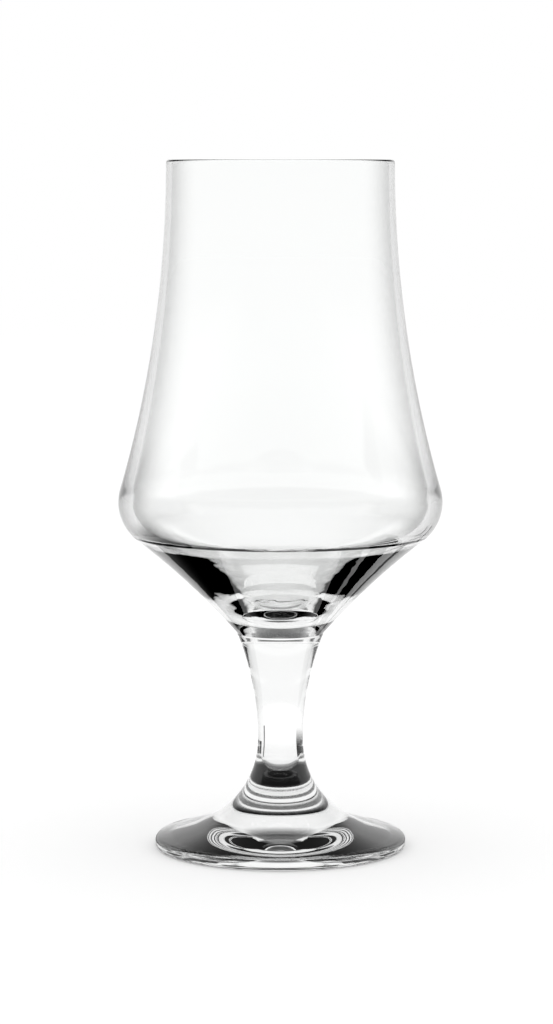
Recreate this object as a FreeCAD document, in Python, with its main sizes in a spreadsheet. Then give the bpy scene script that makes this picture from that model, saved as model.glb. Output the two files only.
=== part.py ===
"""Stemmed beer glass: a blown bowl, a pressed stem and a pressed foot, fused end to end.

Every piece is turned about the upright Z axis. The origin is the middle of the ring that
the foot stands on, +Z is up, lengths are in millimetres and angles in degrees.
"""
import FreeCAD
import Part
import math
import os

import Sketcher

DIMENSIONS = {
    # Foot
    "foot_diameter": 67.0,
    "foot_edge_height": 2.8,
    "foot_top_slope": 17.0,
    "foot_edge_round": 1.6,
    "foot_heel_round": 1.3,
    "bearing_ring_width": 3.0,
    "underside_dome_height": 1.6,
    "foot_joint_height": 21.5,
    # Stem
    "waist_diameter": 12.0,
    "waist_height": 28.9,
    "waist_to_weld": 28.1,
    "weld_ledge": 0.1,
    # Bowl outside, with its heights counted from the weld
    "weld_diameter": 22.8,
    "weld_collar_height": 0.45,
    "cone_hollow_round": 193.0,
    "weld_to_crease": 26.6,
    "under_belly_slope": 50.0,
    "weld_to_belly": 35.5,
    "belly_diameter": 85.9,
    "belly_round": 12.3,
    "bowl_height": 125.5,
    "rim_diameter": 60.0,
    # Bowl inside
    "rim_wall": 1.5,
    "belly_wall": 3.6,
    "inner_belly_lift": 0.2,
    "inner_shoulder_round": 18.0,
    "inner_belly_round": 9.5,
    "inner_belly_straight": 3.2,
    "inner_cone_ease_round": 20.0,
    "inner_cone_ease_turn": 3.65,
    "inner_cone_round": 285.0,
    "floor_round": 20.4,
    "floor_thickness": 6.7,
    # Lip, nearly half round: what stays flat between its two rounds
    "lip_flat_width": 0.1,
    # How far the cut of the hollow runs on above the glass
    "cut_overrun": 2.0,
}

doc = FreeCAD.newDocument("stemmed_beer_glass")
sheet = doc.addObject("Spreadsheet::Sheet", "sizes")
for row, (alias, number) in enumerate(DIMENSIONS.items(), start=1):
    sheet.set(f"A{row}", alias)
    sheet.set(f"B{row}", str(number))
    sheet.setAlias(f"B{row}", alias)
doc.recompute()

# Rules that more than one piece follows
WAIST_RADIUS = "sizes.waist_diameter / 2"
FOOT_RADIUS = "sizes.foot_diameter / 2"
WELD_RADIUS = "sizes.weld_diameter / 2"
WELD_HEIGHT = "(sizes.waist_height + sizes.waist_to_weld)"
BELLY_HEIGHT = f"({WELD_HEIGHT} + sizes.weld_to_belly)"
RIM_HEIGHT = f"({WELD_HEIGHT} + sizes.bowl_height)"

# Foot and stem share one flare. It leaves the waist upright and ends tangent to the
# sloping top of the foot, so its radius follows from those two places.
TOP_SLOPE = "sizes.foot_top_slope * 1deg"
FLARE_ROUND = (
    "(sizes.waist_height - sizes.foot_edge_height"
    f" - (sizes.foot_diameter - sizes.waist_diameter) / 2 * tan({TOP_SLOPE}))"
    f" * cos({TOP_SLOPE}) / (1 - sin({TOP_SLOPE}))"
)
FLARE_CENTRE = f"({WAIST_RADIUS} + {FLARE_ROUND})"


def value(expression):
    """What an expression comes to with the numbers in the spreadsheet."""
    result = sheet.evalExpression(expression)
    return float(getattr(result, "Value", result))


def point(outwards, upwards):
    """A point of a half section: distance from the axis, then height."""
    return FreeCAD.Vector(outwards, upwards, 0)


def on_circle(centre, radius, degrees):
    """The point of a circle at an angle, counted from outwards towards upwards."""
    turn = math.radians(degrees)
    return centre + point(math.cos(turn), math.sin(turn)) * radius


def meeting(centre_a, radius_a, centre_b, radius_b):
    """Where two circles that touch from outside meet."""
    return centre_a + (centre_b - centre_a) * (radius_a / (radius_a + radius_b))


def apex(start, reach_from_start, end, reach_from_end):
    """The point at two given distances, on the right-hand side of the way from start to end."""
    way = end - start
    along = (reach_from_start ** 2 - reach_from_end ** 2 + way.Length ** 2) / (2 * way.Length)
    aside = math.sqrt(reach_from_start ** 2 - along ** 2)
    forward = way / way.Length
    return start + forward * along + point(forward.y, -forward.x) * aside


def upright_arc_radius(rim, round_centre, round_radius):
    """Radius of the wall that leaves the rim upright and ends on the outside of a smaller round."""
    rise = rim.y - round_centre.y
    step = rim.x - round_centre.x
    return (rise ** 2 + step ** 2 - round_radius ** 2) / (2 * (round_radius - step))


# How a sketch numbers its own axes, and the points of an edge
ORIGIN_INDEX = (-1, 1)
TABLE_AXIS_INDEX = -1
UPRIGHT_AXIS_INDEX = -2
FIRST_END_INDEX = 1
LAST_END_INDEX = 2
CENTRE_INDEX = 3


class Edge:
    """One edge of a section, with its points as a sketch names them."""

    def __init__(self, index, start, end):
        self.index = index
        self.start = (index, start)
        self.end = (index, end)
        self.centre = (index, CENTRE_INDEX)


class Section:
    """A closed half section in a body's XZ plane, drawn end to end and then dimensioned."""

    def __init__(self, body, name):
        self.sketch = body.newObject("Sketcher::SketchObject", name)
        plane = next(item for item in body.Origin.OriginFeatures if item.Role == "XZ_Plane")
        self.sketch.AttachmentSupport = [(plane, "")]
        self.sketch.MapMode = "FlatFace"
        self.edges = []

    def _add(self, geometry, start, end):
        edge = Edge(self.sketch.addGeometry(geometry, False), start, end)
        self.edges.append(edge)
        return edge

    def line(self, start, end):
        return self._add(Part.LineSegment(start, end), FIRST_END_INDEX, LAST_END_INDEX)

    def arc(self, centre, start, end, clockwise=False):
        """An arc from start to end. A sketch stores each arc anticlockwise."""
        first, last = (end, start) if clockwise else (start, end)
        turns = [math.atan2(spot.y - centre.y, spot.x - centre.x) for spot in (first, last)]
        circle = Part.Circle(centre, FreeCAD.Vector(0, 0, 1), (start - centre).Length)
        ends = (FIRST_END_INDEX, LAST_END_INDEX)
        if clockwise:
            ends = (LAST_END_INDEX, FIRST_END_INDEX)
        return self._add(Part.ArcOfCircle(circle, *turns), *ends)

    def constrain(self, kind, *geometry):
        return self.sketch.addConstraint(Sketcher.Constraint(kind, *geometry))

    def join(self, smooth=()):
        """Joins each edge to the next, tangent after the edges named in smooth."""
        for edge, following in zip(self.edges, self.edges[1:] + self.edges[:1]):
            kind = "Tangent" if edge in smooth else "Coincident"
            self.constrain(kind, *edge.end, *following.start)

    def size(self, kind, geometry, expression, name):
        """A dimension bound to the spreadsheet."""
        index = self.constrain(kind, *geometry, value(expression))
        self.sketch.renameConstraint(index, name)
        self.sketch.setExpression("Constraints." + name, expression)

    def radius(self, edge, expression, name):
        self.size("Radius", (edge.index,), expression, name)

    def out(self, spot, expression, name):
        """Distance of a point from the axis of the glass."""
        self.size("DistanceX", ORIGIN_INDEX + spot, expression, name)

    def up(self, spot, expression, name):
        """Height of a point above the table."""
        self.size("DistanceY", ORIGIN_INDEX + spot, expression, name)

    def on_axis(self, *spots):
        for spot in spots:
            self.constrain("PointOnObject", *spot, UPRIGHT_AXIS_INDEX)

    def level(self, *edges):
        for edge in edges:
            self.constrain("Horizontal", edge.index)

    def upright(self, *edges):
        for edge in edges:
            self.constrain("Vertical", edge.index)

    def same_height(self, spot_a, spot_b):
        """Two points at one height. An arc's end level with its centre runs upright there."""
        self.constrain("Horizontal", *spot_a, *spot_b)


def turn(body, section, kind, name):
    """Turns a section about the axis: kind is Revolution to add glass, Groove to cut it."""
    feature = body.newObject("PartDesign::" + kind, name)
    feature.Profile = section.sketch
    feature.ReferenceAxis = (section.sketch, ["V_Axis"])
    feature.Angle = 360
    doc.recompute()
    return feature


def round_off(body, base, low, high, least_radius, radius, name):
    """Rounds the circular edges between two heights that are wider than least_radius."""
    edges = []
    for number, edge in enumerate(base.Shape.Edges, start=1):
        if edge.Degenerated or not isinstance(edge.Curve, Part.Circle):
            continue
        if edge.Curve.Radius > least_radius and low < edge.Curve.Center.z < high:
            edges.append(f"Edge{number}")
    feature = body.newObject("PartDesign::Fillet", name)
    feature.Base = (base, edges)
    feature.Radius = value(radius)
    feature.setExpression("Radius", radius)
    doc.recompute()
    return feature


def new_body(label):
    body = doc.addObject("PartDesign::Body", label + "_body")
    body.Label = label
    return body


def make_foot():
    """A pressed disc that climbs to the stem. It stands on a flat ring round a shallow dome."""
    body = new_body("foot")
    ring_radius = f"({FOOT_RADIUS} - sizes.foot_heel_round - sizes.bearing_ring_width)"
    flare_centre = point(value(FLARE_CENTRE), value("sizes.waist_height"))
    flare_round = value(FLARE_ROUND)
    joint_height = value("sizes.foot_joint_height")
    dome = value("sizes.underside_dome_height")
    dome_round = (value(ring_radius) ** 2 + dome ** 2) / (2 * dome)
    joint_reach = math.sqrt(flare_round ** 2 - (flare_centre.y - joint_height) ** 2)

    joint_middle = point(0, joint_height)
    joint_rim = point(flare_centre.x - joint_reach, joint_height)
    flare_end = on_circle(flare_centre, flare_round, 270 - value("sizes.foot_top_slope"))
    edge_top = point(value(FOOT_RADIUS), value("sizes.foot_edge_height"))
    edge_bottom = point(value(FOOT_RADIUS), 0)
    ring_inside = point(value(ring_radius), 0)
    dome_top = point(0, dome)

    section = Section(body, "foot_section")
    joint = section.line(joint_middle, joint_rim)
    flare = section.arc(flare_centre, joint_rim, flare_end)
    top = section.line(flare_end, edge_top)
    edge = section.line(edge_top, edge_bottom)
    ring = section.line(edge_bottom, ring_inside)
    underside = section.arc(point(0, dome - dome_round), ring_inside, dome_top)
    axis = section.line(dome_top, joint_middle)
    section.join(smooth=[flare])
    section.level(joint, ring)
    section.upright(edge, axis)
    section.on_axis(axis.start, underside.centre)
    section.up(joint.start, "sizes.foot_joint_height", "joint_height")
    section.radius(flare, FLARE_ROUND, "flare_round")
    section.out(flare.centre, FLARE_CENTRE, "flare_centre")
    section.up(flare.centre, "sizes.waist_height", "waist_height")
    section.out(top.end, FOOT_RADIUS, "foot_radius")
    section.up(top.end, "sizes.foot_edge_height", "edge_height")
    section.constrain("PointOnObject", *ring.start, TABLE_AXIS_INDEX)
    section.out(ring.end, ring_radius, "ring_radius")
    section.up(axis.start, "sizes.underside_dome_height", "dome_height")

    disc = turn(body, section, "Revolution", "foot_disc")
    heel_round = "sizes.foot_heel_round"
    between = (value(heel_round) + edge_top.y) / 2
    heel = round_off(body, disc, -between, between, ring_inside.x, heel_round, "heel")
    edge_round = "sizes.foot_edge_round"
    round_off(body, heel, between, joint_height, ring_inside.x, edge_round, "brim")
    return body


def make_stem():
    """A solid stem, narrow at the waist, that swells to the weld under the bowl."""
    body = new_body("stem")
    top_radius = f"({WELD_RADIUS} - sizes.weld_ledge)"
    flare_centre = point(value(FLARE_CENTRE), value("sizes.waist_height"))
    flare_round = value(FLARE_ROUND)
    joint_height = value("sizes.foot_joint_height")
    joint_reach = math.sqrt(flare_round ** 2 - (flare_centre.y - joint_height) ** 2)
    rise = value("sizes.waist_to_weld")
    swell = value(top_radius) - value(WAIST_RADIUS)
    swell_round = (rise ** 2 + swell ** 2) / (2 * swell)

    joint_middle = point(0, joint_height)
    joint_rim = point(flare_centre.x - joint_reach, joint_height)
    waist = point(value(WAIST_RADIUS), flare_centre.y)
    weld_rim = point(value(top_radius), value(WELD_HEIGHT))
    weld_middle = point(0, value(WELD_HEIGHT))

    section = Section(body, "stem_section")
    joint = section.line(joint_middle, joint_rim)
    flare = section.arc(flare_centre, joint_rim, waist, clockwise=True)
    upper = section.arc(waist + point(swell_round, 0), waist, weld_rim, clockwise=True)
    weld = section.line(weld_rim, weld_middle)
    axis = section.line(weld_middle, joint_middle)
    section.join()
    section.level(joint, weld)
    section.upright(axis)
    section.on_axis(axis.start)
    section.up(joint.start, "sizes.foot_joint_height", "joint_height")
    section.radius(flare, FLARE_ROUND, "flare_round")
    section.same_height(flare.end, flare.centre)
    section.same_height(upper.start, upper.centre)
    section.out(upper.start, WAIST_RADIUS, "waist_radius")
    section.up(upper.start, "sizes.waist_height", "waist_height")
    section.out(weld.start, top_radius, "top_radius")
    section.up(weld.start, WELD_HEIGHT, "weld_height")
    turn(body, section, "Revolution", "stem_bar")
    return body


def draw_bowl_outside(body):
    """Weld, collar, hollow-sided cone, crease, belly and tall wall."""
    weld_rim = point(value(WELD_RADIUS), value(WELD_HEIGHT))
    collar_top = weld_rim + point(0, value("sizes.weld_collar_height"))
    belly_out = "sizes.belly_diameter / 2 - sizes.belly_round"
    belly_round = value("sizes.belly_round")
    belly_centre = point(value(belly_out), value(BELLY_HEIGHT))
    slope = value("sizes.under_belly_slope")
    under_top = on_circle(belly_centre, belly_round, slope - 90)
    crease_height = weld_rim.y + value("sizes.weld_to_crease")
    crease_inset = (under_top.y - crease_height) / math.tan(math.radians(slope))
    crease = point(under_top.x - crease_inset, crease_height)
    cone_round = value("sizes.cone_hollow_round")
    cone_centre = apex(collar_top, cone_round, crease, cone_round)
    rim = point(value("sizes.rim_diameter / 2"), value(RIM_HEIGHT))
    wall_round = upright_arc_radius(rim, belly_centre, belly_round)
    wall_centre = rim + point(wall_round, 0)
    shoulder = meeting(belly_centre, belly_round, wall_centre, wall_round)
    weld_middle = point(0, weld_rim.y)
    rim_middle = point(0, rim.y)

    section = Section(body, "bowl_outside")
    weld = section.line(weld_middle, weld_rim)
    collar = section.line(weld_rim, collar_top)
    cone = section.arc(cone_centre, collar_top, crease, clockwise=True)
    under = section.line(crease, under_top)
    belly = section.arc(belly_centre, under_top, shoulder)
    wall = section.arc(wall_centre, shoulder, rim, clockwise=True)
    top = section.line(rim, rim_middle)
    axis = section.line(rim_middle, weld_middle)
    section.join(smooth=[under, belly])
    section.level(weld, top)
    section.upright(collar, axis)
    section.on_axis(weld.start)
    section.out(weld.end, WELD_RADIUS, "weld_radius")
    section.up(weld.end, WELD_HEIGHT, "weld_height")
    section.up(collar.end, f"{WELD_HEIGHT} + sizes.weld_collar_height", "collar_top")
    section.radius(cone, "sizes.cone_hollow_round", "cone_hollow")
    section.up(under.start, f"{WELD_HEIGHT} + sizes.weld_to_crease", "crease_height")
    section.radius(belly, "sizes.belly_round", "belly_round")
    section.out(belly.centre, belly_out, "belly_centre")
    slope_reach = "sizes.belly_round * sin(sizes.under_belly_slope * 1deg)"
    section.out(belly.start, f"{belly_out} + {slope_reach}", "under_top")
    section.up(belly.centre, BELLY_HEIGHT, "belly_height")
    section.same_height(wall.end, wall.centre)
    section.out(top.start, "sizes.rim_diameter / 2", "rim_radius")
    section.up(top.start, RIM_HEIGHT, "rim_height")
    return section


def draw_bowl_hollow(body):
    """Round floor, cone, belly, shoulder and wall of the inside, and the way out on top."""
    inner_belly = "(sizes.belly_diameter / 2 - sizes.belly_wall)"
    inner_height = f"({BELLY_HEIGHT} + sizes.inner_belly_lift)"
    inner_rim = "(sizes.rim_diameter / 2 - sizes.rim_wall)"
    floor_height = f"({WELD_HEIGHT} + sizes.floor_thickness)"
    floor_round = value("sizes.floor_round")
    ease_round = value("sizes.inner_cone_ease_round")
    belly_round = value("sizes.inner_belly_round")
    shoulder_round = value("sizes.inner_shoulder_round")
    cone_round = value("sizes.inner_cone_round")
    straight = value("sizes.inner_belly_straight")
    ease_turn = math.radians(value("sizes.inner_cone_ease_turn"))
    floor = point(0, value(floor_height))
    floor_centre = floor + point(0, floor_round)
    widest = point(value(inner_belly), value(inner_height))
    belly_centre = widest - point(belly_round, 0)
    shoulder_centre = widest - point(shoulder_round, 0)

    # Belly, straight stretch and easing round are one chain that swings about the belly's
    # centre until it meets the cone, so the slope under the belly follows from the rest.
    drop = belly_round - ease_round + (ease_round + cone_round) * math.cos(ease_turn)
    draw_in = straight + (ease_round + cone_round) * math.sin(ease_turn)
    cone_centre = apex(
        floor_centre, floor_round + cone_round, belly_centre, math.hypot(drop, draw_in)
    )
    way = cone_centre - belly_centre
    slope = 90 + math.degrees(math.atan2(way.y, way.x) + math.atan2(draw_in, drop))
    under_top = on_circle(belly_centre, belly_round, slope - 90)
    mouth = on_circle(under_top, straight, slope + 180)
    ease_centre = on_circle(mouth, ease_round, slope + 90)
    cone_high = meeting(ease_centre, ease_round, cone_centre, cone_round)
    cone_low = meeting(floor_centre, floor_round, cone_centre, cone_round)
    rim = point(value(inner_rim), value(RIM_HEIGHT))
    wall_round = upright_arc_radius(rim, shoulder_centre, shoulder_round)
    wall_centre = rim + point(wall_round, 0)
    shoulder_top = meeting(shoulder_centre, shoulder_round, wall_centre, wall_round)
    out_rim = rim + point(0, value("sizes.cut_overrun"))
    out_middle = point(0, out_rim.y)

    section = Section(body, "bowl_inside")
    bottom = section.arc(floor_centre, floor, cone_low)
    cone = section.arc(cone_centre, cone_low, cone_high, clockwise=True)
    ease = section.arc(ease_centre, cone_high, mouth)
    under = section.line(mouth, under_top)
    belly = section.arc(belly_centre, under_top, widest)
    shoulder = section.arc(shoulder_centre, widest, shoulder_top)
    wall = section.arc(wall_centre, shoulder_top, rim, clockwise=True)
    way_out = section.line(rim, out_rim)
    top = section.line(out_rim, out_middle)
    axis = section.line(out_middle, floor)
    section.join(smooth=[bottom, cone, ease, under, shoulder])
    section.level(top)
    section.upright(way_out, axis)
    section.on_axis(bottom.centre, axis.end)
    section.up(axis.end, floor_height, "floor_height")
    section.radius(bottom, "sizes.floor_round", "floor_round")
    section.radius(cone, "sizes.inner_cone_round", "cone_round")
    section.radius(ease, "sizes.inner_cone_ease_round", "ease_round")
    section.size("Distance", (under.index,), "sizes.inner_belly_straight", "under_straight")
    section.size("Angle", (ease.index,), "sizes.inner_cone_ease_turn * 1deg", "ease_turn")
    section.out(belly.centre, f"{inner_belly} - sizes.inner_belly_round", "belly_centre")
    shoulder_out = f"{inner_belly} - sizes.inner_shoulder_round"
    section.out(shoulder.centre, shoulder_out, "shoulder_centre")
    section.same_height(belly.end, belly.centre)
    section.same_height(shoulder.start, shoulder.centre)
    section.out(shoulder.start, inner_belly, "inner_belly")
    section.up(shoulder.start, inner_height, "inner_belly_height")
    section.same_height(wall.end, wall.centre)
    section.out(way_out.start, inner_rim, "inner_rim")
    section.up(way_out.start, RIM_HEIGHT, "rim_height")
    section.up(top.start, f"{RIM_HEIGHT} + sizes.cut_overrun", "cut_top")
    return section


def make_bowl():
    """A blown bowl with a solid cone under its hollow, and a rim rounded by the fire."""
    body = new_body("bowl")
    turn(body, draw_bowl_outside(body), "Revolution", "bowl_blank")
    hollowed = turn(body, draw_bowl_hollow(body), "Groove", "bowl_hollow")
    rim_height = value(RIM_HEIGHT)
    wall = value("sizes.rim_wall")
    lip_round = "(sizes.rim_wall - sizes.lip_flat_width) / 2"
    round_off(body, hollowed, rim_height - wall, rim_height + wall, wall, lip_round, "lip")
    return body


def check_objects():
    """Stops if any object failed, because the document doesn't stop by itself."""
    for item in doc.Objects:
        if {"Invalid", "Error"} & set(item.State):
            raise RuntimeError(f"{item.Name} is {item.State}")


def write_pieces(bodies):
    """Writes each piece to its own file, once all of them are sound."""
    for body in bodies:
        shape = body.Shape
        if shape.isNull() or not shape.isValid() or len(shape.Solids) != 1:
            raise RuntimeError(f"{body.Label} is not one valid solid")
    os.makedirs("parts", exist_ok=True)
    for body in bodies:
        body.Shape.exportStep(f"parts/{body.Label}.step")
        box = body.Shape.optimalBoundingBox()
        print(
            f"{body.Label}: {box.XLength:.2f} x {box.YLength:.2f} x {box.ZLength:.2f} mm,"
            f" z {box.ZMin:.2f} to {box.ZMax:.2f}, volume {body.Shape.Volume:.0f} mm3"
        )


pieces = [make_foot(), make_stem(), make_bowl()]
doc.recompute()
check_objects()
write_pieces(pieces)
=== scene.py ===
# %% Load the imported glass
import math

import bpy
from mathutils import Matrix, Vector


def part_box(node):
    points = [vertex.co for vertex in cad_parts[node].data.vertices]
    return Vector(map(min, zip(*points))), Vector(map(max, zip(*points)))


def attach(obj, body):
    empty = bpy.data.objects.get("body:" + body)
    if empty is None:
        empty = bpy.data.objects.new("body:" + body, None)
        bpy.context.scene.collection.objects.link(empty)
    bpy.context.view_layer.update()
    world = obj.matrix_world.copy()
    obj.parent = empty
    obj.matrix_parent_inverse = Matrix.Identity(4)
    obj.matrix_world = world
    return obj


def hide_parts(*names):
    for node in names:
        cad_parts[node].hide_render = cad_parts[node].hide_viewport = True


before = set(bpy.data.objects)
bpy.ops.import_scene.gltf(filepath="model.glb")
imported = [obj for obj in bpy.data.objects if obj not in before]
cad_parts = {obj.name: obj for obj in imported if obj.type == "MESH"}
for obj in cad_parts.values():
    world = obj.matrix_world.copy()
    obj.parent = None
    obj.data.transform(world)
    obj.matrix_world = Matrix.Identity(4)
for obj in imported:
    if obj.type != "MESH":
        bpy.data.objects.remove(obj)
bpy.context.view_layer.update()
print("packed nodes:", sorted(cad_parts))
for node in sorted(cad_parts):
    low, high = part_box(node)
    print(node, "stands from", round(low[2], 4), "to", round(high[2], 4), "m")

# %% [markdown]
# # A stemmed beer glass
# The real glass is three pieces of clear soda-lime glass, fused while they were hot: a bowl
# blown into a mould, with a thick cone under its hollow, a pressed stem and a pressed foot. The
# frame holds them as three nodes, right in size, but their meshes are made of flat facets.
# Glass bends light at every facet, so a faceted glass looks cut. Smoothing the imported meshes
# doesn't cure that, because their long thin triangles stay. Each piece is therefore turned
# again here on the same outline and at the same place, and stands in for its node.

# %% Sizes in millimetres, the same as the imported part's
MM = 0.001
FOOT_RADIUS = 33.5
FOOT_EDGE_HEIGHT = 2.8
FOOT_TOP_SLOPE = 17.0
FOOT_EDGE_ROUND = 1.6
FOOT_HEEL_ROUND = 1.3
BEARING_RING_WIDTH = 3.0
UNDERSIDE_DOME_HEIGHT = 1.6
FOOT_JOINT_HEIGHT = 21.5
WAIST_RADIUS = 6.0
WAIST_HEIGHT = 28.9
WELD_HEIGHT = WAIST_HEIGHT + 28.1
WELD_RADIUS = 11.4
WELD_LEDGE = 0.1
COLLAR_TOP = WELD_HEIGHT + 0.45
CONE_HOLLOW_ROUND = 193.0
CREASE_HEIGHT = WELD_HEIGHT + 26.6
UNDER_BELLY_SLOPE = 50.0
BELLY_HEIGHT = WELD_HEIGHT + 35.5
BELLY_RADIUS = 42.95
BELLY_ROUND = 12.3
RIM_RADIUS = 30.0
RIM_HEIGHT = WELD_HEIGHT + 125.5
RIM_WALL = 1.5
LIP_ROUND = (RIM_WALL - 0.1) / 2
INNER_BELLY_RADIUS = BELLY_RADIUS - 3.6
INNER_BELLY_HEIGHT = BELLY_HEIGHT + 0.2
INNER_SHOULDER_ROUND = 18.0
INNER_BELLY_ROUND = 9.5
INNER_BELLY_STRAIGHT = 3.2
INNER_CONE_EASE_ROUND = 20.0
INNER_CONE_EASE_TURN = 3.65
INNER_CONE_ROUND = 285.0
FLOOR_ROUND = 20.4
FLOOR_HEIGHT = WELD_HEIGHT + 6.7
print("glass:", 2 * BELLY_RADIUS, "mm wide,", RIM_HEIGHT, "mm high")

# %% [markdown]
# An outline is half of a cross-section, from the axis outwards, drawn as a lathe worker would
# draw it: straight stretches and arcs. It starts as one vertex, which is a plane merged at
# its centre. A straight stretch extrudes that vertex, and an arc spins it about the arc's
# centre. A last spin about the upright axis turns the whole outline into glass.

# %% Drawing tools for an outline
def spot(out, up):
    """A point of an outline: distance from the axis, then height, in millimetres."""
    return Vector((out, up))


def on_circle(centre, radius, degrees):
    """The point of a circle at an angle, counted from outwards towards upwards."""
    turn = math.radians(degrees)
    return centre + Vector((math.cos(turn), math.sin(turn))) * radius


def meeting(centre_a, radius_a, centre_b, radius_b):
    """Where two circles that touch from outside meet."""
    return centre_a + (centre_b - centre_a) * radius_a / (radius_a + radius_b)


def heading(centre, place):
    """The angle at which a place is seen from a centre."""
    way = place - centre
    return math.degrees(math.atan2(way.y, way.x))


def start_outline(name, place):
    """A new object with one vertex, in edit mode, ready to be drawn on."""
    bpy.ops.object.select_all(action="DESELECT")
    bpy.ops.mesh.primitive_plane_add(size=MM)
    bpy.context.object.name = name
    bpy.context.object.data.name = name
    bpy.ops.object.mode_set(mode="EDIT")
    bpy.ops.mesh.select_mode(type="VERT")
    bpy.ops.mesh.select_all(action="SELECT")
    bpy.ops.mesh.merge(type="CENTER")
    bpy.ops.transform.translate(value=(place.x * MM, 0, place.y * MM))
    return place


def line(start, end, parts=1):
    """Draws straight on from start to end, in parts of one length."""
    step = (end - start) * MM / parts
    for _ in range(parts):
        bpy.ops.mesh.extrude_region_move(TRANSFORM_OT_translate={"value": (step.x, 0, step.y)})
    return end


def arc(start, centre, turn, step=3.0):
    """Draws an arc from start about a centre, with a vertex at least every step degrees. A
    positive turn goes from outwards to upwards."""
    bpy.ops.mesh.spin(
        steps=max(2, math.ceil(abs(turn) / step)),
        angle=math.radians(turn),
        center=(centre.x * MM, 0, centre.y * MM),
        axis=(0, 1, 0),
    )
    radius = (start - centre).length
    return on_circle(centre, radius, heading(centre, start) + turn)


# %% Turning tool
LATHE_STEPS = 288
CREASE_ANGLE = 5.5  # degrees: a bend sharper than this stays crisp
SEAM_REACH = 0.002 * MM  # only the doubles at the seam and on the axis are this close


def lathe():
    """Turns the outline about the axis and closes it. Returns the finished piece."""
    bpy.ops.mesh.select_all(action="SELECT")
    bpy.ops.mesh.spin(steps=LATHE_STEPS, angle=math.tau, center=(0, 0, 0), axis=(0, 0, 1))
    bpy.ops.mesh.select_all(action="SELECT")
    bpy.ops.mesh.remove_doubles(threshold=SEAM_REACH)
    bpy.ops.mesh.normals_make_consistent(inside=False)
    bpy.ops.mesh.select_all(action="DESELECT")
    bpy.ops.object.mode_set(mode="OBJECT")
    piece = bpy.context.object
    bpy.ops.object.shade_smooth_by_angle(angle=math.radians(CREASE_ANGLE))
    print(piece.name, "has", len(piece.data.polygons), "faces")
    return piece


# %% [markdown]
# ## Foot
# The foot is a pressed disc. It stands on a narrow flat ring, because a whole flat underside
# would rock on a crumb, and it is domed inside that ring. Its top slopes up and sweeps into
# the stem in one hollow round that touches both, so there is no crease for light to catch on.
# Its edge is nearly upright between two small rounds, which the photo shows as two parallel
# lines. The sweep could be a free curve, but an arc is fixed by the sizes that were measured.

# %% Foot
flare_rise = WAIST_HEIGHT - FOOT_EDGE_HEIGHT
slope = math.radians(FOOT_TOP_SLOPE)
FLARE_ROUND = (
    (flare_rise - (FOOT_RADIUS - WAIST_RADIUS) * math.tan(slope))
    * math.cos(slope) / (1 - math.sin(slope))
)
flare_centre = spot(WAIST_RADIUS + FLARE_ROUND, WAIST_HEIGHT)
print("flare round:", round(FLARE_ROUND, 2), "mm")

ring_radius = FOOT_RADIUS - FOOT_HEEL_ROUND - BEARING_RING_WIDTH
dome_round = (ring_radius ** 2 + UNDERSIDE_DOME_HEIGHT ** 2) / (2 * UNDERSIDE_DOME_HEIGHT)
dome_centre = spot(0, UNDERSIDE_DOME_HEIGHT - dome_round)
dome_turn = math.degrees(math.asin(ring_radius / dome_round))
heel_centre = spot(FOOT_RADIUS - FOOT_HEEL_ROUND, FOOT_HEEL_ROUND)
edge_reach = FOOT_EDGE_ROUND * math.tan(math.radians(90 - FOOT_TOP_SLOPE) / 2)
edge_centre = spot(FOOT_RADIUS - FOOT_EDGE_ROUND, FOOT_EDGE_HEIGHT - edge_reach)
flare_low = on_circle(flare_centre, FLARE_ROUND, 270 - FOOT_TOP_SLOPE)
joint_angle = 180 + math.degrees(math.asin((WAIST_HEIGHT - FOOT_JOINT_HEIGHT) / FLARE_ROUND))

pen = start_outline("turned_foot", spot(0, UNDERSIDE_DOME_HEIGHT))
pen = arc(pen, dome_centre, -dome_turn, step=dome_turn / 24)
pen = line(pen, spot(heel_centre.x, 0), parts=4)
pen = arc(pen, heel_centre, 90, step=6)
pen = line(pen, spot(FOOT_RADIUS, edge_centre.y), parts=2)
pen = arc(pen, edge_centre, 90 - FOOT_TOP_SLOPE, step=5)
pen = line(pen, flare_low, parts=6)
pen = arc(pen, flare_centre, joint_angle - (270 - FOOT_TOP_SLOPE), step=2)
foot_joint_radius = pen.x
pen = line(pen, spot(0, FOOT_JOINT_HEIGHT), parts=4)
foot = lathe()

# %% [markdown]
# ## Stem
# The stem carries the foot's sweep on to the waist and swells again to the weld under the
# bowl. The swell is one arc that is upright at the waist.

# %% Stem
swell = WELD_RADIUS - WELD_LEDGE - WAIST_RADIUS
swell_rise = WELD_HEIGHT - WAIST_HEIGHT
SWELL_ROUND = (swell_rise ** 2 + swell ** 2) / (2 * swell)
swell_turn = math.degrees(math.asin(swell_rise / SWELL_ROUND))
pen = start_outline("turned_stem", spot(0, FOOT_JOINT_HEIGHT))
pen = line(pen, spot(foot_joint_radius, FOOT_JOINT_HEIGHT), parts=4)
pen = arc(pen, flare_centre, 180 - joint_angle, step=2)
pen = arc(pen, spot(WAIST_RADIUS + SWELL_ROUND, WAIST_HEIGHT), -swell_turn, step=0.8)
pen = line(pen, spot(0, WELD_HEIGHT), parts=4)
stem = lathe()

# %% [markdown]
# ## Bowl
# Outside, a slightly hollow cone widens from the weld, breaks in a crease, and goes on at a
# flatter slope into a low round belly; from there the wall draws in to a rim that is upright.
# Inside, the hollow is deeper and narrower than the outside promises: the belly's wall is
# thick, and the hollow dips into the cone as a small round well. The outside and the inside
# are separate chains of arcs that touch, because the two pull apart: an outline moved inwards
# by one thickness would lose the well and the thick belly that make this glass look heavy.

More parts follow.
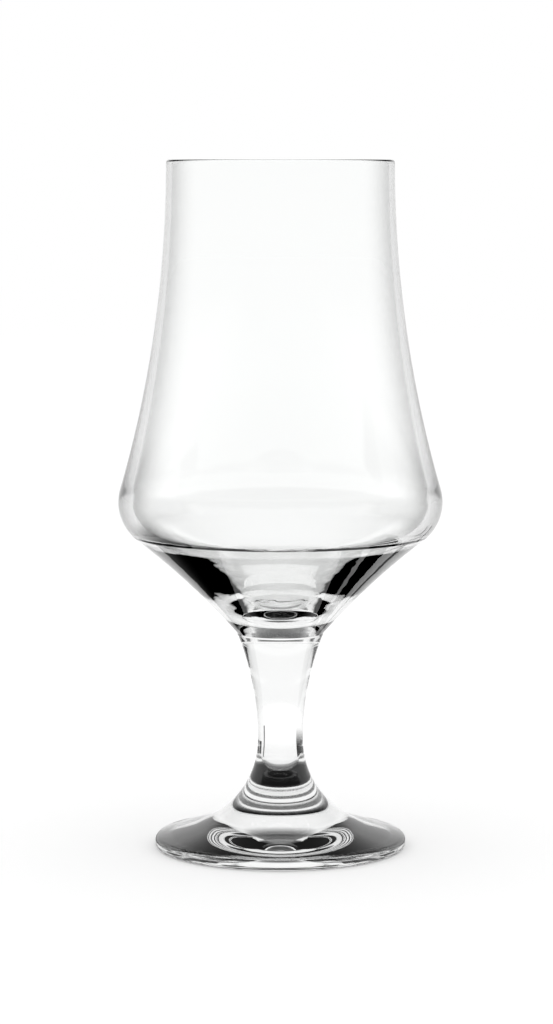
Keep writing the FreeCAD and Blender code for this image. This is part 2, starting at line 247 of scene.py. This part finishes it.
# %% Bowl outline, outside
belly_centre = spot(BELLY_RADIUS - BELLY_ROUND, BELLY_HEIGHT)
under_top = on_circle(belly_centre, BELLY_ROUND, UNDER_BELLY_SLOPE - 90)
crease_inset = (under_top.y - CREASE_HEIGHT) / math.tan(math.radians(UNDER_BELLY_SLOPE))
crease = spot(under_top.x - crease_inset, CREASE_HEIGHT)
collar = spot(WELD_RADIUS, COLLAR_TOP)


def apex(start, reach_from_start, end, reach_from_end):
    """The point at two given distances, on the right-hand side of the way from start to end."""
    way = end - start
    along = (reach_from_start ** 2 - reach_from_end ** 2 + way.length_squared) / (2 * way.length)
    forward = way.normalized()
    aside = spot(forward.y, -forward.x)
    return start + forward * along + aside * math.sqrt(reach_from_start ** 2 - along ** 2)


def upright_round(rim, round_centre, radius):
    """Radius of the wall that leaves the rim upright and ends on the outside of a round."""
    rise = rim.y - round_centre.y
    step = rim.x - round_centre.x
    return (rise ** 2 + step ** 2 - radius ** 2) / (2 * (radius - step))


cone_centre = apex(collar, CONE_HOLLOW_ROUND, crease, CONE_HOLLOW_ROUND)
cone_turn = heading(cone_centre, crease) - heading(cone_centre, collar)
rim_outside = spot(RIM_RADIUS, RIM_HEIGHT)
wall_round = upright_round(rim_outside, belly_centre, BELLY_ROUND)
wall_centre = spot(RIM_RADIUS + wall_round, RIM_HEIGHT)
shoulder = meeting(belly_centre, BELLY_ROUND, wall_centre, wall_round)
print("the crease lies", round(crease.x, 2), "mm from the axis")

# %% Bowl outline, inside
inner_widest = spot(INNER_BELLY_RADIUS, INNER_BELLY_HEIGHT)
inner_belly_centre = inner_widest - spot(INNER_BELLY_ROUND, 0)
inner_shoulder_centre = inner_widest - spot(INNER_SHOULDER_ROUND, 0)
floor_centre = spot(0, FLOOR_HEIGHT + FLOOR_ROUND)
ease_turn = math.radians(INNER_CONE_EASE_TURN)
cone_reach = INNER_CONE_EASE_ROUND + INNER_CONE_ROUND
chain_drop = INNER_BELLY_ROUND - INNER_CONE_EASE_ROUND + cone_reach * math.cos(ease_turn)
chain_draw_in = INNER_BELLY_STRAIGHT + cone_reach * math.sin(ease_turn)
inner_cone_centre = apex(
    floor_centre,
    FLOOR_ROUND + INNER_CONE_ROUND,
    inner_belly_centre,
    math.hypot(chain_drop, chain_draw_in),
)
inner_slope = heading(inner_belly_centre, inner_cone_centre) + 90
inner_slope += math.degrees(math.atan2(chain_draw_in, chain_drop))
inner_under_top = on_circle(inner_belly_centre, INNER_BELLY_ROUND, inner_slope - 90)
mouth = on_circle(inner_under_top, INNER_BELLY_STRAIGHT, inner_slope + 180)
ease_centre = on_circle(mouth, INNER_CONE_EASE_ROUND, inner_slope + 90)
cone_high = meeting(ease_centre, INNER_CONE_EASE_ROUND, inner_cone_centre, INNER_CONE_ROUND)
cone_low = meeting(floor_centre, FLOOR_ROUND, inner_cone_centre, INNER_CONE_ROUND)
print("slope under the inner belly:", round(inner_slope, 2), "degrees")
inner_rim = spot(RIM_RADIUS - RIM_WALL, RIM_HEIGHT)
inner_wall_round = upright_round(inner_rim, inner_shoulder_centre, INNER_SHOULDER_ROUND)
inner_wall_centre = spot(inner_rim.x + inner_wall_round, RIM_HEIGHT)
inner_shoulder = meeting(
    inner_shoulder_centre, INNER_SHOULDER_ROUND, inner_wall_centre, inner_wall_round
)

# The walls stand upright at the rim, so each of the lip's two rounds touches its wall almost
# exactly one radius below the top.


def lip_touch(wall_centre, wall_round, side):
    """Centre of a lip round and the place where it touches a wall. side: +1 outside, -1 in."""
    up = RIM_HEIGHT - LIP_ROUND
    reach = wall_round + side * LIP_ROUND
    out = wall_centre.x - math.sqrt(reach ** 2 - (up - wall_centre.y) ** 2)
    centre = spot(out, up)
    return centre, meeting(centre, side * LIP_ROUND, wall_centre, wall_round)


outer_lip, outer_touch = lip_touch(wall_centre, wall_round, 1)
inner_lip, inner_touch = lip_touch(inner_wall_centre, inner_wall_round, -1)
print("lip starts", round(RIM_HEIGHT - outer_touch.y, 3), "mm under the top of the rim")


def turn_between(centre, start, end):
    """The shorter turn from start to end about a centre, in degrees."""
    return (heading(centre, end) - heading(centre, start) + 180) % 360 - 180


# %% Bowl
pen = start_outline("turned_bowl", spot(0, WELD_HEIGHT))
pen = line(pen, spot(WELD_RADIUS - WELD_LEDGE, WELD_HEIGHT), parts=4)
pen = line(pen, spot(WELD_RADIUS, WELD_HEIGHT))
pen = line(pen, collar, parts=2)
pen = arc(pen, cone_centre, cone_turn, step=0.4)
pen = line(pen, under_top, parts=3)
pen = arc(pen, belly_centre, turn_between(belly_centre, under_top, shoulder), step=2.5)
pen = arc(pen, wall_centre, turn_between(wall_centre, shoulder, outer_touch), step=0.35)
outer_top = spot(outer_lip.x, RIM_HEIGHT)
pen = arc(pen, outer_lip, turn_between(outer_lip, pen, outer_top), step=5)
pen = line(pen, spot(inner_lip.x, RIM_HEIGHT))
pen = arc(pen, inner_lip, turn_between(inner_lip, pen, inner_touch), step=5)
pen = arc(pen, inner_wall_centre, turn_between(inner_wall_centre, pen, inner_shoulder), step=0.35)
widest_turn = turn_between(inner_shoulder_centre, pen, inner_widest)
pen = arc(pen, inner_shoulder_centre, widest_turn, step=2.5)
under_turn = turn_between(inner_belly_centre, pen, inner_under_top)
pen = arc(pen, inner_belly_centre, under_turn, step=2.5)
pen = line(pen, mouth, parts=3)
pen = arc(pen, ease_centre, turn_between(ease_centre, pen, cone_high), step=1.2)
pen = arc(pen, inner_cone_centre, turn_between(inner_cone_centre, pen, cone_low), step=0.3)
pen = arc(pen, floor_centre, turn_between(floor_centre, pen, spot(0, FLOOR_HEIGHT)), step=2.5)
print("the bowl's outline ends at", round(pen.x, 4), round(pen.y, 4))
bowl = lathe()

# %% [markdown]
# ## Clear glass
# Soda-lime glass bends light by 1.52 and is all but colourless. Its skin is fire-polished, so
# it has no grain, yet it isn't quite even: the melt was drawn out, which leaves long shallow
# waves, and the thick cone was chilled against the mould, which leaves finer ones. They are
# far too low to feel, and they break up the dark and bright bands that a perfect lens would
# draw as clean stripes. The table rubs the ring under the foot, so that is dull and scratched.
# A bump map made of noise in the glass's own space gives the waves, so they stay with it.
#
# The edges are grey by painted shade: the colour darkens as the surface turns away from the eye,
# and stands in for the dark edges that dark cards round the glass would draw. Each height has its
# own share, and the thick belly has the most. An absorbing volume would also grey the solid cone
# and the stem, which stay clear on the real glass.

# %% Tools for a finish
def new_material(name):
    """An empty material with an output node."""
    material = bpy.data.materials.new(name)
    material.use_nodes = True
    tree = material.node_tree
    tree.nodes.clear()
    return material, tree, tree.nodes.new("ShaderNodeOutputMaterial")


def add_node(tree, kind, **settings):
    """A node with its plain settings."""
    node = tree.nodes.new(kind)
    for name, setting in settings.items():
        setattr(node, name, setting)
    return node


def ramp(tree, source, low, high, start, end):
    """Turns a number that runs from low to high into one that runs smoothly from start to end."""
    node = add_node(tree, "ShaderNodeMapRange", interpolation_type="SMOOTHSTEP")
    for name, number in zip(("From Min", "From Max", "To Min", "To Max"), (low, high, start, end)):
        node.inputs[name].default_value = number
    tree.links.new(source, node.inputs["Value"])
    return node.outputs["Result"]


def product(tree, first, second):
    """One number times another."""
    node = add_node(tree, "ShaderNodeMath", operation="MULTIPLY")
    tree.links.new(first, node.inputs[0])
    tree.links.new(second, node.inputs[1])
    return node.outputs["Value"]


def noise(tree, place, stretch, scale, detail):
    """Noise in the glass's own space, drawn out by three factors along X, Y and Z."""
    mapping = add_node(tree, "ShaderNodeMapping")
    mapping.inputs["Scale"].default_value = stretch
    tree.links.new(place, mapping.inputs["Vector"])
    node = add_node(tree, "ShaderNodeTexNoise")
    node.inputs["Scale"].default_value = scale
    node.inputs["Detail"].default_value = detail
    tree.links.new(mapping.outputs["Vector"], node.inputs["Vector"])
    return node.outputs["Fac"]


def bump(tree, height, depth, normal=None):
    """Raises the surface by at most depth, in metres, where height is 1."""
    node = add_node(tree, "ShaderNodeBump")
    node.inputs["Strength"].default_value = 1.0
    node.inputs["Distance"].default_value = depth
    tree.links.new(height, node.inputs["Height"])
    if normal:
        tree.links.new(normal, node.inputs["Normal"])
    return node.outputs["Normal"]


# %% Waves and chill marks in the skin
WAVES_PER_METRE = 42
WAVE_STRETCH = (1, 1, 0.3)  # the waves run up the glass, the way it was drawn out
DRAWN_WAVE_DEPTH = 0.030 * MM
CHILL_WAVES_PER_METRE = 105
CHILL_STRETCH = (1, 1, 1.6)
CHILL_WAVE_DEPTH = 0.05 * MM
CHILL_START = 4  # mm over the collar in which the chill marks grow to their full depth

glass, tree, output = new_material("clear_soda_glass")
place = add_node(tree, "ShaderNodeTexCoord").outputs["Object"]
height = add_node(tree, "ShaderNodeSeparateXYZ")
tree.links.new(place, height.inputs["Vector"])
up = height.outputs["Z"]
drawn = noise(tree, place, WAVE_STRETCH, WAVES_PER_METRE, 1.0)
chilled = noise(tree, place, CHILL_STRETCH, CHILL_WAVES_PER_METRE, 2.0)
in_cone = ramp(tree, up, COLLAR_TOP * MM, (COLLAR_TOP + CHILL_START) * MM, 0.0, 1.0)
below_crease = ramp(tree, up, CREASE_HEIGHT * MM, BELLY_HEIGHT * MM, 1.0, 0.0)
chilled = product(tree, chilled, product(tree, in_cone, below_crease))
skin = bump(tree, drawn, DRAWN_WAVE_DEPTH)
skin = bump(tree, chilled, CHILL_WAVE_DEPTH, skin)
print("waves", DRAWN_WAVE_DEPTH / MM, "mm deep, chill marks", CHILL_WAVE_DEPTH / MM, "mm")

# %% The worn ring under the foot
SCRATCHES_PER_METRE = 2400
SCRATCH_DEPTH = 0.01 * MM
RING_WEAR_HEIGHT = 0.25 * MM
WORN_ROUGHNESS = 0.3
LEAST_WEAR = 0.3  # share of the roughness that is left between two scratches

worn = ramp(tree, up, 0.0, RING_WEAR_HEIGHT, 1.0, 0.0)
scratches = noise(tree, place, (1, 1, 1), SCRATCHES_PER_METRE, 3.0)
skin = bump(tree, product(tree, scratches, worn), SCRATCH_DEPTH, skin)
wear = product(tree, ramp(tree, scratches, 0.35, 0.65, LEAST_WEAR, 1.0), worn)
dull = add_node(tree, "ShaderNodeMath", operation="MULTIPLY")
dull.inputs[1].default_value = WORN_ROUGHNESS
tree.links.new(wear, dull.inputs[0])
print("the ring is worn up to", RING_WEAR_HEIGHT / MM, "mm over the table")

# %% Painted shade on the edges
CLEAR = (0.985, 0.99, 0.987, 1)
EDGE_PAINTED_SHADE = (0.08, 0.08, 0.08, 1)
EDGE_START, EDGE_END = 0.32, 0.9  # Layer Weight is 0 face on and 1 edge on
CONE_SHARE = 0.2  # of the painted edge shade: the belly has all of it, the cone, stem and foot have this
WALL_SHARE = 0.6
# The heights between which the share changes, below the belly and above it.
BELLY_START = ((CREASE_HEIGHT - 2) * MM, (CREASE_HEIGHT + 2.5) * MM)
BELLY_END = ((BELLY_HEIGHT + 3.5) * MM, (BELLY_HEIGHT + 19.5) * MM)

# Painted shade: the glass's colour darkens towards edge-on, in place of the dark edges that dark
# cards would draw.
facing = add_node(tree, "ShaderNodeLayerWeight")
facing.inputs["Blend"].default_value = 0.5
painted_edge_shade = ramp(tree, facing.outputs["Facing"], EDGE_START, EDGE_END, 0.0, 1.0)
painted_edge_shade = product(tree, painted_edge_shade, ramp(tree, up, *BELLY_START, CONE_SHARE, 1.0))
painted_edge_shade = product(tree, painted_edge_shade, ramp(tree, up, *BELLY_END, 1.0, WALL_SHARE))
# A Mix node has sockets for every kind of value. Its colours are inputs 6 and 7 and output 2.
painted_shade_tint = add_node(tree, "ShaderNodeMix", data_type="RGBA")
tree.links.new(painted_edge_shade, painted_shade_tint.inputs["Factor"])
painted_shade_tint.inputs[6].default_value = CLEAR
painted_shade_tint.inputs[7].default_value = EDGE_PAINTED_SHADE
print("the edges grey from", EDGE_START, "to", EDGE_END)

# %% Clear glass
SODA_GLASS_IOR = 1.52
shader = add_node(tree, "ShaderNodeBsdfPrincipled")
tree.links.new(painted_shade_tint.outputs[2], shader.inputs["Base Color"])
shader.inputs["Transmission Weight"].default_value = 1.0
shader.inputs["IOR"].default_value = SODA_GLASS_IOR
tree.links.new(dull.outputs["Value"], shader.inputs["Roughness"])
tree.links.new(skin, shader.inputs["Normal"])
tree.links.new(shader.outputs["BSDF"], output.inputs["Surface"])
print("glass nodes:", len(tree.nodes))

# %% [markdown]
# ## Fused joints
# Where two pieces are fused there is no surface left inside the glass, so light goes straight
# through. The turned pieces are closed all the same, because each stands for a node of its
# own. Their faces inside the glass get a material that lets everything through unchanged.
# Cutting those faces away would also work, but it would leave three open shells.

# %% Fused joints
JOINT_SLACK = 0.01 * MM
fused, tree, output = new_material("fused_joint")
clear = add_node(tree, "ShaderNodeBsdfTransparent")
tree.links.new(clear.outputs["BSDF"], output.inputs["Surface"])


def fuse(piece, joint_heights):
    """Gives a piece its glass, and clears its faces that lie at a joint. Returns how many."""
    piece.data.materials.append(glass)
    piece.data.materials.append(fused)
    inner = 0
    for face in piece.data.polygons:
        corners = [piece.data.vertices[index].co for index in face.vertices]
        reach = max(corner.xy.length for corner in corners)
        for joint_height in joint_heights:
            level = all(abs(corner.z - joint_height * MM) < JOINT_SLACK for corner in corners)
            if level and reach < (WELD_RADIUS - WELD_LEDGE / 2) * MM:
                face.material_index = 1
                inner += 1
    return inner


print("foot:", fuse(foot, [FOOT_JOINT_HEIGHT]), "faces inside the fused glass")
print("stem:", fuse(stem, [FOOT_JOINT_HEIGHT, WELD_HEIGHT]), "faces inside the fused glass")
print("bowl:", fuse(bowl, [WELD_HEIGHT]), "faces inside the fused glass")

for piece, node in ((foot, "foot"), (stem, "stem"), (bowl, "bowl")):
    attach(piece, "root")
    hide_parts(node)

# %% [markdown]
# ## Camera
# The round edges of the glass show as ellipses. How flat each one is tells how far above or
# below it the camera stands, and how much they differ tells how far away it is: 86 cm, level
# with the rim and tilted down by six degrees, with a long lens.

# %% Camera
CAMERA_PLACE = (-0.00104, -0.8564, 0.1803)
CAMERA_TILT = 6.04
LENS_LENGTH = 114.26
FILM_WIDTH = 36
bpy.ops.object.camera_add(
    location=CAMERA_PLACE,
    rotation=(math.radians(90 - CAMERA_TILT), 0, 0),
)
camera = bpy.context.object
camera.data.lens = LENS_LENGTH
camera.data.sensor_width = FILM_WIDTH
bpy.context.scene.camera = camera
print("camera at", [round(number, 4) for number in camera.location])

# %% [markdown]
# ## Studio light
# Clear glass has no colour of its own to show. It shows the studio: whatever is bright around
# it fills it, and whatever is dark draws its edges. This one stands in an even white light
# that comes from all round, on white paper. Paper throws back only 85 % of the light, so a
# small glow, which only the camera and the glass see, tops that up to white. The glow is a
# little stronger near the glass, where the glass shades the paper, and fades with distance, so
# that the far edge of the paper draws no line in the glass. The shadow under the foot stays.

# %% Even white world
scene = bpy.context.scene
scene.view_settings.view_transform = "Standard"
world = bpy.data.worlds.new("white_studio")
scene.world = world
world.use_nodes = True
background = world.node_tree.nodes["Background"]
background.inputs["Color"].default_value = (1, 1, 1, 1)
background.inputs["Strength"].default_value = 1.0
print("world:", world.name)

# %% White paper
PAPER_RADIUS = 4.0
PAPER_GAP = 0.05 * MM
PAPER_WHITE = (0.85, 0.85, 0.85, 1)
NEAR_GLOW, FAR_GLOW = 0.22, 0.15
GLOW_NEAR_END, GLOW_FAR_START = 0.2, 3.0  # metres from the glass
bpy.ops.object.select_all(action="DESELECT")
bpy.ops.mesh.primitive_circle_add(vertices=128, radius=PAPER_RADIUS, fill_type="NGON")
paper_sheet = bpy.context.object
paper_sheet.name = "white_paper"
paper_sheet.location.z = -PAPER_GAP
paper, tree, output = new_material("white_paper")
matt = add_node(tree, "ShaderNodeBsdfDiffuse")
matt.inputs["Color"].default_value = PAPER_WHITE
path = add_node(tree, "ShaderNodeLightPath")
glow = add_node(tree, "ShaderNodeEmission")
seen = path.outputs["Is Camera Ray"]
for other in ("Is Glossy Ray", "Is Transmission Ray"):
    either = add_node(tree, "ShaderNodeMath", operation="MAXIMUM")
    tree.links.new(seen, either.inputs[0])
    tree.links.new(path.outputs[other], either.inputs[1])
    seen = either.outputs["Value"]
reach = add_node(tree, "ShaderNodeVectorMath", operation="LENGTH")
tree.links.new(add_node(tree, "ShaderNodeTexCoord").outputs["Object"], reach.inputs[0])
away = reach.outputs["Value"]
level = ramp(tree, away, GLOW_NEAR_END, GLOW_FAR_START, NEAR_GLOW, FAR_GLOW)
tree.links.new(product(tree, seen, level), glow.inputs["Strength"])
both = add_node(tree, "ShaderNodeAddShader")
tree.links.new(matt.outputs["BSDF"], both.inputs[0])
tree.links.new(glow.outputs["Emission"], both.inputs[1])
tree.links.new(both.outputs["Shader"], output.inputs["Surface"])
paper_sheet.data.materials.append(paper)
print("paper:", 2 * PAPER_RADIUS, "m across")

# %% [markdown]
# ## Dark cards
# A photographer of glass sets up dark cards just outside the picture, and each one shows in the
# glass as a dark field. Cards that lie on the table draw the black bands in the cone; the bands
# aren't alike on the left and the right, so the cards aren't either. A soft dark disc under the
# foot is painted shadow: it stands for the shade that the foot and the stem cast on the table, and
# darkens the foot's middle. Two cards overhead darken what the foot and the cone reflect from
# above. Only the glass sees the cards: they cast no shade, and each takes light away from the
# white studio and adds none. Upright cards would draw the wall's edges too, but from the side they
# make clear glass look smoked.
#
# A card is drawn like the outlines above: one vertex, stretched into a line and then spun. Where
# a hard edge would show as a line in the glass, the card thins out towards that edge.

# %% Card tools
CARD_STEPS = 32


def card_tone(name, tone, fade=None):
    """A card that looks equally dark from everywhere. fade: two distances from the middle of
    the table, between which it thins out to nothing."""
    material, tree, output = new_material(name)
    shade = add_node(tree, "ShaderNodeEmission")
    shade.inputs["Strength"].default_value = tone
    surface = shade.outputs["Emission"]
    if fade:
        place = add_node(tree, "ShaderNodeTexCoord").outputs["Object"]
        reach = add_node(tree, "ShaderNodeVectorMath", operation="LENGTH")
        tree.links.new(place, reach.inputs[0])
        gone = ramp(tree, reach.outputs["Value"], fade[0], fade[1], 0.0, 1.0)
        nothing = add_node(tree, "ShaderNodeBsdfTransparent")
        mix = add_node(tree, "ShaderNodeMixShader")
        tree.links.new(gone, mix.inputs["Fac"])
        tree.links.new(surface, mix.inputs[1])
        tree.links.new(nothing.outputs["BSDF"], mix.inputs[2])
        surface = mix.outputs["Shader"]
    tree.links.new(surface, output.inputs["Surface"])
    return material


def draw_card(name, start, stretch, turn, material):
    """Stretches a point into a line, spins that about the glass's axis and hangs the card."""
    bpy.ops.object.select_all(action="DESELECT")
    bpy.ops.mesh.primitive_plane_add(size=MM)
    card = bpy.context.object
    card.name = name
    bpy.ops.object.mode_set(mode="EDIT")
    bpy.ops.mesh.select_all(action="SELECT")
    bpy.ops.mesh.merge(type="CENTER")
    bpy.ops.transform.translate(value=start)
    bpy.ops.mesh.extrude_region_move(TRANSFORM_OT_translate={"value": stretch})
    bpy.ops.mesh.select_all(action="SELECT")
    bpy.ops.mesh.spin(steps=CARD_STEPS, angle=math.radians(turn), center=(0, 0, 0), axis=(0, 0, 1))
    bpy.ops.object.mode_set(mode="OBJECT")
    card.data.materials.append(material)
    card.visible_camera = False
    card.visible_diffuse = False
    card.visible_shadow = False
    return card


def towards(azimuth, radius):
    """How far along X and Y a place is. Azimuth 0 lies straight behind the glass, 90 right."""
    turn = math.radians(azimuth)
    return radius * math.sin(turn), radius * math.cos(turn)


def level_card(name, azimuths, radii, height, tone, fade=None):
    """A flat card between two azimuths and two radii, on the table or overhead."""
    left, right = azimuths
    inner, outer = radii
    start = (*towards(left, inner), height)
    stretch = (*towards(left, outer - inner), 0)
    draw_card(name, start, stretch, right - left, card_tone(name, tone, fade))


# %% Cards on the table, which draw the dark bands in the cone
BLACK, DARK_GREY, MID_GREY = 0, 0.1, 0.2
HOLE = 0.042  # metres: the table cards leave this round the glass's axis free, for the painted shadow under the foot
NEAR_EDGE, FAR_EDGE = 0.12, 0.3
TABLE_CARD_HEIGHT = 0.2 * MM
level_card("left_table_card", (-90, -33), (HOLE, FAR_EDGE), TABLE_CARD_HEIGHT, BLACK,
           fade=(0.08, FAR_EDGE))
level_card("right_strip_card", (32, 36), (HOLE, FAR_EDGE), TABLE_CARD_HEIGHT, MID_GREY)
level_card("right_table_card", (45, 57), (HOLE, NEAR_EDGE), TABLE_CARD_HEIGHT, BLACK)
level_card("right_outer_table_card", (61, 90), (HOLE, NEAR_EDGE), TABLE_CARD_HEIGHT, BLACK)

# %% Painted shadow under the foot, and the soft-edged cards overhead
PAINTED_SHADOW_HEIGHT = 0.05 * MM
OVERHEAD = 0.28
CARD_GAP = 0.001
# The dark disc under the foot is painted shadow: it stands for the shade of the foot and the stem
# on the table.
level_card("painted_shadow_card", (0, 360), (0.0005, HOLE), PAINTED_SHADOW_HEIGHT, BLACK, fade=(0.022, 0.034))
level_card("overhead_card", (0, 360), (0.001, 0.7), OVERHEAD, DARK_GREY, fade=(0.36, 0.66))
level_card("front_overhead_card", (100, 260), (0.2, 0.9), OVERHEAD + CARD_GAP, DARK_GREY,
           fade=(0.45, 0.85))
